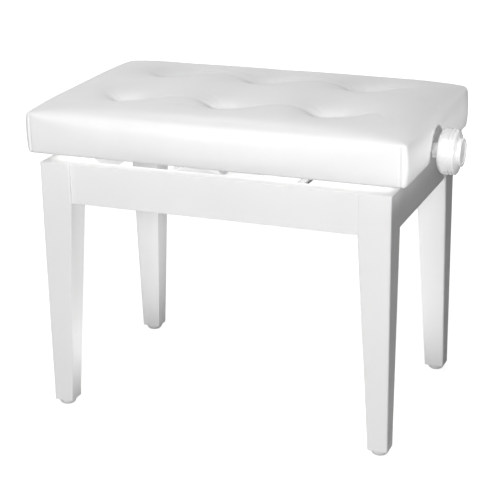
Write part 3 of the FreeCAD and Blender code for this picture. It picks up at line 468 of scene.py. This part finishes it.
for wall in ("apron_left", "apron_right", "box_left", "box_right"):
    TURNED[wall] = short_lacquer

slot_of = {part["node"]: part["material_slot"] for part in frame["record"]["subparts"]}
for name, piece in nodes.items():
    piece.data.materials.clear()
    piece.data.materials.append(TURNED.get(name, FINISHES[slot_of[name]]))
print(len(FINISHES) + len(set(TURNED.values())), "finishes on", len(slot_of), "nodes")

# %% [markdown]
# ## The seat
#
# The seat is a plywood board with foam on it and one piece of vinyl over both. The vinyl is
# drawn down by six covered buttons, turned down over four walls, folded at the four corners
# and stapled underneath. A cushion can be sculpted by hand, or a cloth simulation can blow
# it up like a bag. Here both are used: the sewn shape comes from a few rules of stretched
# cloth, a short simulation then lets it settle, and the finest folds are pressed in last.

# %% Sizes of the seat
BUTTON_RADIUS = 0.009
CELL = 0.0035

button_low, button_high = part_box("tuft_buttons")
HALF_LENGTH, HALF_DEPTH = cover_high.x, cover_high.y
UNDERSIDE = cover_low.z
column = button_high.x - BUTTON_RADIUS
row = button_high.y - BUTTON_RADIUS
tufts = [(x, y) for y in (-row, row) for x in (-column, 0.0, column)]
button_foot = button_low.z
print("tufts", [(round(x, 3), round(y, 3)) for x, y in tufts], "foot", round(button_foot, 4))

# %% [markdown]
# ### The top
#
# Seen from the side, stretched vinyl is a low crown that every button pulls down to a
# point. The pull fades off with distance, faster towards the front, where the foam is held
# by the edge, than towards the back. Between neighbouring buttons the cover creases along
# the row. Each of these is one short formula for a height, so the whole top is one function
# of X and Y, which is easier to steer than a sculpted mesh.

# %% Numbers for the top
# The crown: the height of its foot, its rise, then how full and how steep it is.
BASE_HEIGHT = 0.4465
CROWN = 0.0205
CROWN_END = (6.0, 0.5)
CROWN_SIDE = (2.6, 0.6)
BACK_RISE = 0.0020
CORNER_RISE = 0.0030
CORNER_SPREAD = 0.09
# The pull of a button: how far it reaches in front and behind, and where it trails off to.
NEAR_REACH = 0.0175
FAR_REACH = 0.0235
REACH_CHANGE = 0.006
PULL_SPREAD = 1.15
FRONT_DRIFT = (-0.012, -0.005)
BACK_DRIFT = (-0.006, -0.013)
# The crease along a row: deep at a button, faint between two, and gone past the last.
CREASE_DEEP = 0.0070
CREASE_FAINT = 0.0009
CREASE_LENGTH = 0.046
CREASE_WIDTH = 0.0085
CREASE_FLOOR = 0.0015
CREASE_PAST_BUTTON = 0.055
CREASE_FADE = 0.010


# %% How stretched vinyl hangs between its buttons
def arch(place, half, shape):
    """A full arch over a span, steep at its ends and level in its middle."""
    fullness, steepness = shape
    return np.maximum(0.0, 1 - np.abs(place / half) ** fullness) ** steepness


def puffed(x, y):
    """The height of the foam's crown, before the buttons pull it down.

    The back edge is a little fuller than the front one, and fullest at its left corner.
    """
    crown = CROWN * arch(x, HALF_LENGTH, CROWN_END) * arch(y, HALF_DEPTH, CROWN_SIDE)
    back = BACK_RISE * (1 + y / HALF_DEPTH) / 2
    corner = CORNER_RISE * np.exp(-np.hypot(x + HALF_LENGTH, y - HALF_DEPTH) / CORNER_SPREAD)
    return BASE_HEIGHT + crown + back + corner


def falling(distance, flat, reach):
    """1 within a flat foot, then falling off over the reach."""
    return np.exp(-np.maximum(0.0, distance - flat) / reach)


def to_pull(x, y, drift):
    """Distance from a button, whose pull trails off a little way to one side."""
    share = np.clip((x * drift[0] + y * drift[1]) / np.dot(drift, drift), 0, 1)
    return np.hypot((x - share * drift[0]) / PULL_SPREAD, y - share * drift[1])


def tufted(x, y):
    """The height of the seat's top, drawn down at every button and creased along each row."""
    height = puffed(x, y)
    to_column = np.min([np.abs(x - tuft_x) for tuft_x in (-column, 0.0, column)], axis=0)
    crease = CREASE_FAINT + (CREASE_DEEP - CREASE_FAINT) * np.exp(-(to_column / CREASE_LENGTH) ** 2)
    crease = crease / (1 + np.exp((np.abs(x) - (column + CREASE_PAST_BUTTON)) / CREASE_FADE))
    for row_y in (-row, row):
        across = np.hypot(y - row_y, CREASE_FLOOR)
        height = height - crease * falling(across, CREASE_FLOOR, CREASE_WIDTH)
    for tuft_x, tuft_y in tufts:
        depth = puffed(np.array(tuft_x), np.array(tuft_y)) - button_foot - CREASE_DEEP
        distance = to_pull(x - tuft_x, y - tuft_y, FRONT_DRIFT if tuft_y < 0 else BACK_DRIFT)
        far = 1 / (1 + np.exp(-(y - tuft_y) / REACH_CHANGE))
        reach = NEAR_REACH + (FAR_REACH - NEAR_REACH) * far
        height = height - depth * falling(distance, BUTTON_RADIUS, reach)
    return height

# %% [markdown]
# ### The cover's sides
#
# Below the top the same piece of vinyl goes on over the edge, down the side and under to
# its hem. A box could be rounded with a Bevel modifier, but the rim is wavy. So the cover
# is laid out like a tablecloth: an even grid for the top, then rings of points round the
# rim, each a little further out or down than the last.

# %% The cover as a grid of points
# The edge over which the top turns down, and how far it has leant before it.
EDGE_ROUND = 0.0095
EDGE_LEAN = math.radians(35)
SIDE_TOP = 0.4435
BOTTOM_ROUND = 0.0035
HEM = 0.0165
CORNER_SQUARENESS = 2.9
CORNER_TURNS = np.radians(np.linspace(0, 90, 11))
# Rings of points: over the edge, down the side, round the bottom, under to the hem.
EDGE_RINGS, SIDE_RINGS, BOTTOM_RINGS, HEM_RINGS = 6, 14, 4, 4


def around_corner(out):
    """Steps round a corner that is nearly square, at a distance from its inner point."""
    sine, cosine = np.sin(CORNER_TURNS), np.cos(CORNER_TURNS)
    power = CORNER_SQUARENESS
    reach = out / (sine ** power + cosine ** power) ** (1 / power)
    return reach * sine, reach * cosine


def outline(line_x, line_y, out):
    """Points all round the seat, seen from above, at a distance outside the top's rim."""
    along, away = around_corner(out)
    left, right, front, back = line_x[0], line_x[-1], line_y[0], line_y[-1]
    sides = [
        (line_x[1:-1], np.full(len(line_x) - 2, front - out)),
        (right + along, front - away),
        (np.full(len(line_y) - 2, right + out), line_y[1:-1]),
        (right + away, back + along),
        (line_x[-2:0:-1], np.full(len(line_x) - 2, back + out)),
        (left - along, back + away),
        (np.full(len(line_y) - 2, left - out), line_y[-2:0:-1]),
        (left - away, front - along),
    ]
    return np.concatenate([np.stack(side, -1) for side in sides])


def rim_of(index):
    """The top's rim in the same order, each corner repeated for every step round it."""
    turns = len(CORNER_TURNS)
    return np.concatenate([
        index[1:-1, 0], np.full(turns, index[-1, 0]),
        index[-1, 1:-1], np.full(turns, index[-1, -1]),
        index[-2:0:-1, -1], np.full(turns, index[0, -1]),
        index[0, -2:0:-1], np.full(turns, index[0, 0]),
    ])


def ring_heights(rim_height):
    """How far out and how high each ring of the cover lies, from the shoulder to the hem."""
    for angle in np.linspace(EDGE_LEAN, math.pi / 2, EDGE_RINGS + 1)[1:]:
        out = EDGE_ROUND * (math.sin(angle) - math.sin(EDGE_LEAN)) / (1 - math.sin(EDGE_LEAN))
        yield out, SIDE_TOP + (rim_height - SIDE_TOP) * math.cos(angle) / math.cos(EDGE_LEAN)
    side_foot = UNDERSIDE + BOTTOM_ROUND
    for part in np.linspace(0, 1, SIDE_RINGS + 1)[1:]:
        yield EDGE_ROUND, np.full_like(rim_height, SIDE_TOP + (side_foot - SIDE_TOP) * part)
    for angle in np.linspace(0, math.pi / 2, BOTTOM_RINGS + 1)[1:]:
        drop = BOTTOM_ROUND * math.sin(angle)
        out = EDGE_ROUND - BOTTOM_ROUND * (1 - math.cos(angle))
        yield out, np.full_like(rim_height, side_foot - drop)
    for part in np.linspace(0, 1, HEM_RINGS + 1)[1:]:
        inward = BOTTOM_ROUND + (HEM - BOTTOM_ROUND) * part
        yield EDGE_ROUND - inward, np.full_like(rim_height, UNDERSIDE)


def make_cover():
    """Points and faces of the cover: its top, then rings down its sides and under its hem."""
    half_x, half_y = HALF_LENGTH - EDGE_ROUND, HALF_DEPTH - EDGE_ROUND
    line_x = np.linspace(-half_x, half_x, 2 * round(half_x / CELL) + 1)
    line_y = np.linspace(-half_y, half_y, 2 * round(half_y / CELL) + 1)
    x, y = np.meshgrid(line_x, line_y, indexing="ij")
    points = [np.stack([x, y, tufted(x, y)], -1).reshape(-1, 3)]
    index = np.arange(x.size).reshape(x.shape)
    top = np.stack([index[:-1, :-1], index[1:, :-1], index[1:, 1:], index[:-1, 1:]], -1)
    faces = top.reshape(-1, 4).tolist()

    above = rim_of(index)
    rim_height = points[0][above, 2]
    first = x.size
    for out, height in ring_heights(rim_height):
        points.append(np.column_stack([outline(line_x, line_y, out), height]))
        below = np.arange(first, first + len(above))
        for corners in zip(above, below, np.roll(below, -1), np.roll(above, -1)):
            faces.append(list(dict.fromkeys(int(corner) for corner in corners)))
        above = below
        first += len(above)
    return np.concatenate(points), faces

# %% [markdown]
# ### Full sides and folded corners
#
# Foam swells the sides between their edges, most in the middle of each. Round the knob's
# shaft the cover is held flat by the wall behind it. At a corner there is more vinyl than
# room, and an upholsterer folds the spare part flat and laps it over the long side, which
# leaves one upright line. Both are pushed into the points that are already there, so the
# cover stays one piece.

# %% Full sides and folded corners
END_BULGE = 0.0040
SIDE_BULGE = 0.0024
CORNER_BULGE = 0.6
BULGE_FULLNESS = 0.8
BULGE_TOP = SIDE_TOP + 0.004
BULGE_BAND = 0.006
SHAFT_HOLE = 0.012
HOLE_SLOPE = 0.008
# The folded corner: a line, with a lap of two thicknesses of vinyl beside it.
PLEAT_FROM_CORNER = 0.007
PLEAT_DEPTH = 0.0010
PLEAT_WIDTH = 0.0014
PLEAT_BAND, PLEAT_BAND_FADE = 0.004, 0.003
PLEAT_TOP, PLEAT_TOP_FADE = SIDE_TOP + 0.003, 0.008
VINYL_FOLD = 0.0006
LAP_RISE, LAP_LENGTH, LAP_FADE = 0.002, 0.009, 0.006
knob_low, knob_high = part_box("knob")
knob_y, knob_z = (knob_low.y + knob_high.y) / 2, (knob_low.z + knob_high.z) / 2


def near_shaft(points):
    """1 on the knob's end round the shaft, falling to 0 a little way off."""
    from_shaft = np.hypot(points[:, 1] - knob_y, points[:, 2] - knob_z)
    return np.clip(1 - (from_shaft - SHAFT_HOLE) / HOLE_SLOPE, 0, 1) * (points[:, 0] > 0)


def fill_sides(points):
    """The sides swell a little between their top and bottom edges, less at the shaft's hole."""
    x, y, z = points.T
    up = np.clip((z - UNDERSIDE) / (BULGE_TOP - UNDERSIDE), 0, 1)
    swell = np.sin(np.pi * up) ** BULGE_FULLNESS
    near_end = np.clip((np.abs(x) - HALF_LENGTH + BULGE_BAND) / BULGE_BAND, 0, 1)
    near_side = np.clip((np.abs(y) - HALF_DEPTH + BULGE_BAND) / BULGE_BAND, 0, 1)
    end_share = CORNER_BULGE + (1 - CORNER_BULGE) * np.cos(np.pi / 2 * y / HALF_DEPTH)
    side_share = CORNER_BULGE + (1 - CORNER_BULGE) * np.cos(np.pi / 2 * x / HALF_LENGTH)
    pinch = 1 - near_shaft(points)
    filled = points.copy()
    filled[:, 0] += np.sign(x) * near_end * swell * END_BULGE * end_share * pinch
    filled[:, 1] += np.sign(y) * near_side * swell * SIDE_BULGE * side_share
    return filled


def fold_corners(points):
    """At each corner the spare vinyl is folded flat and lapped over the long side."""
    x, y, z = points.T
    past = np.abs(x) - (HALF_LENGTH - PLEAT_FROM_CORNER)
    on_side = np.clip((np.abs(y) - HALF_DEPTH + PLEAT_BAND) / PLEAT_BAND_FADE, 0, 1)
    down = np.clip((PLEAT_TOP - z) / PLEAT_TOP_FADE, 0, 1)
    line = np.exp(-(past / PLEAT_WIDTH) ** 2) * PLEAT_DEPTH
    lap = np.clip(past / LAP_RISE, 0, 1) * np.clip((LAP_LENGTH - past) / LAP_FADE, 0, 1)
    lap = lap * VINYL_FOLD
    folded = points.copy()
    folded[:, 1] -= np.sign(y) * on_side * down * (line - lap)
    return folded


# %% Cut and stitch the cover
cover_points, cover_faces = make_cover()
cover_points = fill_sides(cover_points)
cover_mesh = bpy.data.meshes.new("cushion")
cover_mesh.from_pydata(cover_points.tolist(), [], cover_faces)
cushion = bpy.data.objects.new("cushion", cover_mesh)
bpy.context.collection.objects.link(cushion)
print("cover", len(cover_points), "points", len(cover_faces), "faces")

# %% [markdown]
# ### Let it settle
#
# The foam under the vinyl pushes outwards everywhere, so the cover is given the same push:
# a cloth under pressure, with no gravity, held where it is stapled, where the buttons pull
# it down and where the shaft comes out. It only has to lose its drawn look, so no point may
# move more than a few millimetres from the drawn shape.

# %% Settle the cover
SETTLE_FRAMES = 20
SETTLE_LIMIT = 0.0025
SETTLE_PRESSURE = 4.0
SETTLE_QUALITY = 5
# How far the hold reaches from the hem, a corner and a button's rim, and where it fades.
HEM_HOLD, HEM_FADE = 0.008, 0.006
CORNER_HOLD, CORNER_FADE = 0.014, 0.008
BUTTON_HOLD, BUTTON_FADE = 0.006, 0.004


def held_points(points):
    """How firmly each point is held: at hem, folded corners, buttons and the shaft."""
    x, y, z = points.T
    hem = np.clip((UNDERSIDE + HEM_HOLD - z) / HEM_FADE, 0, 1)
    from_corner = np.hypot(np.abs(x) - HALF_LENGTH, np.abs(y) - HALF_DEPTH)
    corner = np.clip((CORNER_HOLD - from_corner) / CORNER_FADE, 0, 1)
    button = np.zeros(len(points))
    for tuft_x, tuft_y in tufts:
        from_middle = np.hypot(x - tuft_x, y - tuft_y)
        held = np.clip((BUTTON_RADIUS + BUTTON_HOLD - from_middle) / BUTTON_FADE, 0, 1)
        button = np.maximum(button, held)
    return np.max([hem, corner, button, near_shaft(points)], axis=0)


def read_points(mesh):
    """The places of a mesh's points, one row to a point."""
    flat = np.empty(len(mesh.vertices) * 3, np.float32)
    mesh.vertices.foreach_get("co", flat)
    return flat.reshape(-1, 3).astype(float)


def settle(piece):
    """Runs the piece as cloth for a few frames and takes over where its points have gone."""
    drawn = read_points(piece.data)
    pins = piece.vertex_groups.new(name="held")
    for index, weight in enumerate(held_points(drawn)):
        if weight > 0:
            pins.add([index], float(weight), "REPLACE")
    cloth = piece.modifiers.new("settle", "CLOTH")
    cloth.settings.use_pressure = True
    cloth.settings.uniform_pressure_force = SETTLE_PRESSURE
    cloth.settings.effector_weights.gravity = 0
    cloth.settings.vertex_group_mass = pins.name
    cloth.settings.quality = SETTLE_QUALITY
    cloth.point_cache.frame_start = 1
    cloth.point_cache.frame_end = SETTLE_FRAMES
    for step in range(1, SETTLE_FRAMES + 1):
        bpy.context.scene.frame_set(step)
    settled = piece.evaluated_get(bpy.context.evaluated_depsgraph_get()).to_mesh()
    moved = read_points(settled) - drawn
    piece.modifiers.remove(cloth)
    piece.vertex_groups.remove(pins)
    bpy.context.scene.frame_set(1)
    length = np.linalg.norm(moved, axis=1, keepdims=True)
    moved *= SETTLE_LIMIT * np.tanh(length / SETTLE_LIMIT) / np.maximum(length, 1e-9)
    print("settled: the mean point moved", round(float(length.mean()) * 1000, 2), "mm")
    return drawn + moved


cover_points = settle(cushion)
cover_mesh.vertices.foreach_set("co", cover_points.ravel())

# %% [markdown]
# ### Folds
#
# Vinyl doesn't stretch evenly. Near a button it gathers into a fan of fine folds, closest
# together along the row, where the pull of the neighbouring button meets it. Each fold is
# a narrow valley between two low banks, a little curved, of its own length and depth. They
# are narrower than the grid of the cover, so the cover is divided once before.

# %% Finer cover
divide = cushion.modifiers.new("finer", "SUBSURF")
divide.levels = 1
divided = cushion.evaluated_get(bpy.context.evaluated_depsgraph_get())
finer = bpy.data.meshes.new_from_object(divided)
cushion.modifiers.clear()
cushion.data = finer
finer.name = "cushion_folded"
print("finer cover", len(finer.vertices), "points")

# %% Press the folds
# Each fan: the directions of its first and last fold in degrees, their number, their reach.
FOLD_FANS = (
    (153, 177, 5, 0.066),
    (8, 40, 4, 0.046),
    (84, 124, 2, 0.024),
    (200, 335, 5, 0.022),
)
FOLD_SEED = 11
FOLD_DEPTH = 0.00038
FOLD_WIDTH = 0.0019
FOLD_BANK = 1.6  # how high the banks stand, and with it how wide apart they are
FOLD_PEAK = 0.6  # below 1, a fold is deepest near its button
TOP_FADE = 0.002


def tuft_folds():
    """Every fold as its button, direction, length, depth, width and bend."""
    chance = np.random.default_rng(FOLD_SEED)
    for tuft in tufts:
        for first, last, count, reach in FOLD_FANS:
            for angle in np.linspace(first, last, count):
                turn = math.radians(angle + chance.uniform(-2.5, 2.5))
                length = reach * chance.uniform(0.7, 1.15)
                depth = FOLD_DEPTH * chance.uniform(0.55, 1.3)
                width = FOLD_WIDTH * chance.uniform(0.8, 1.25)
                yield tuft, turn, length, depth, width, chance.uniform(-3.0, 3.0)


def press_folds(points):
    """Lowers the top along every fold and banks it up a little on both sides."""
    pressed = points.copy()
    on_top = np.clip((points[:, 2] - SIDE_TOP) / TOP_FADE, 0, 1)
    for (tuft_x, tuft_y), turn, length, depth, width, bend in tuft_folds():
        x, y = points[:, 0] - tuft_x, points[:, 1] - tuft_y
        along = x * math.cos(turn) + y * math.sin(turn) - BUTTON_RADIUS
        across = y * math.cos(turn) - x * math.sin(turn) - bend * along * along
        share = np.clip(along / length, 0, 1)
        fade = np.sin(np.pi * share ** FOLD_PEAK)
        valley = (1 - FOLD_BANK * (across / width) ** 2) * np.exp(-(across / width) ** 2)
        pressed[:, 2] -= depth * fade * valley * on_top
    return pressed


folded_points = fold_corners(press_folds(read_points(finer)))
finer.vertices.foreach_set("co", folded_points.ravel())
finer.polygons.foreach_set("use_smooth", [True] * len(finer.polygons))
finer.update()
finer.materials.append(FINISHES["vinyl"])
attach(cushion, "seat")
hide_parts("seat_cover", "seat_foam")
print("cushion from", folded_points.min(0).round(4), "to", folded_points.max(0).round(4))

# %% [markdown]
# ## The threaded spindle
#
# Under the seat a steel spindle draws a nut along. On the real bench its thread is rolled
# into the bar: rounded flanks, two starts, and a lead of 6 mm, so one turn of the knob
# moves the nut 6 mm. The plain cylinder in the frame stands for the thread's outer size.
# A thread could be made with a Screw modifier, but then the ends need trimming. Here every
# point of a fine tube asks how far along the thread it lies and sinks to that depth, which
# leaves both ends flat. The last part is plain, because it turns in the thrust block and
# the bush, and a thin pin stands for the flatted end inside the knob.

# %% Size of the thread
THREAD_LEAD = 0.006
THREAD_STARTS = 2
THREAD_DEPTH = 0.0011
THREAD_FLANK = 0.9  # the higher, the steeper the flanks and the flatter the crests
THREAD_STEP = 0.0003
THREAD_TO_BLOCK = 0.012
RUN_OUT = 0.001
CHAMFER = 0.0015
PIN_RADIUS = 0.0035
PIN_STEP = 0.0002
AROUND = 32

bar_low, bar_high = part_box("spindle")
block_low, block_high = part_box("thrust_block")
bar_y, bar_z = (bar_low.y + bar_high.y) / 2, (bar_low.z + bar_high.z) / 2
bar_radius = (bar_high.z - bar_low.z) / 2
thread_end = block_low.x - THREAD_TO_BLOCK
print("thread", round(thread_end - bar_low.x, 4), "long on a bar of radius", round(bar_radius, 4))


# %% Cut the thread
def thread_radius(where, turn):
    """The bar's radius at a place along it and a turn round it."""
    phase = (where - THREAD_LEAD * turn / (2 * np.pi)) * THREAD_STARTS / THREAD_LEAD
    sink = THREAD_DEPTH * np.clip(0.5 + THREAD_FLANK * np.cos(2 * np.pi * phase), 0, 1)
    radius = bar_radius - np.where(where < thread_end, sink, 0)
    chamfer = bar_radius - THREAD_DEPTH + np.clip(where - bar_low.x, 0, CHAMFER)
    return np.where(where > knob_low.x + PIN_STEP / 2, PIN_RADIUS, np.minimum(radius, chamfer))


def ring_faces(rings):
    """Four-sided faces between rings of points, and one face over each end."""
    for ring in range(rings - 1):
        for side in range(AROUND):
            here, there = ring * AROUND, (ring + 1) * AROUND
            after = (side + 1) % AROUND
            yield here + after, there + after, there + side, here + side
    yield tuple(reversed(range(AROUND)))
    yield tuple(range((rings - 1) * AROUND, rings * AROUND))


threaded_part = np.arange(bar_low.x, thread_end, THREAD_STEP)
plain_part = [thread_end + THREAD_STEP, thread_end + RUN_OUT, knob_low.x, knob_low.x + PIN_STEP,
              bar_high.x]
stations = np.append(threaded_part, plain_part)
turns = np.linspace(0, 2 * np.pi, AROUND, endpoint=False)
where, turn = np.meshgrid(stations, turns, indexing="ij")
radius = thread_radius(where, turn)
spindle_points = np.stack([where, bar_y + radius * np.cos(turn), bar_z + radius * np.sin(turn)], -1)

# %% Set the spindle in its place
spindle_mesh = bpy.data.meshes.new("threaded_spindle")
spindle_faces = list(ring_faces(len(stations)))
spindle_mesh.from_pydata(spindle_points.reshape(-1, 3).tolist(), [], spindle_faces)
spindle_mesh.shade_smooth()
spindle_mesh.materials.append(TURNED["spindle"])
threaded = bpy.data.objects.new("threaded_spindle", spindle_mesh)
bpy.context.collection.objects.link(threaded)
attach(threaded, "spindle")
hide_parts("spindle")
print("spindle", len(spindle_mesh.vertices), "points in", len(stations), "rings")
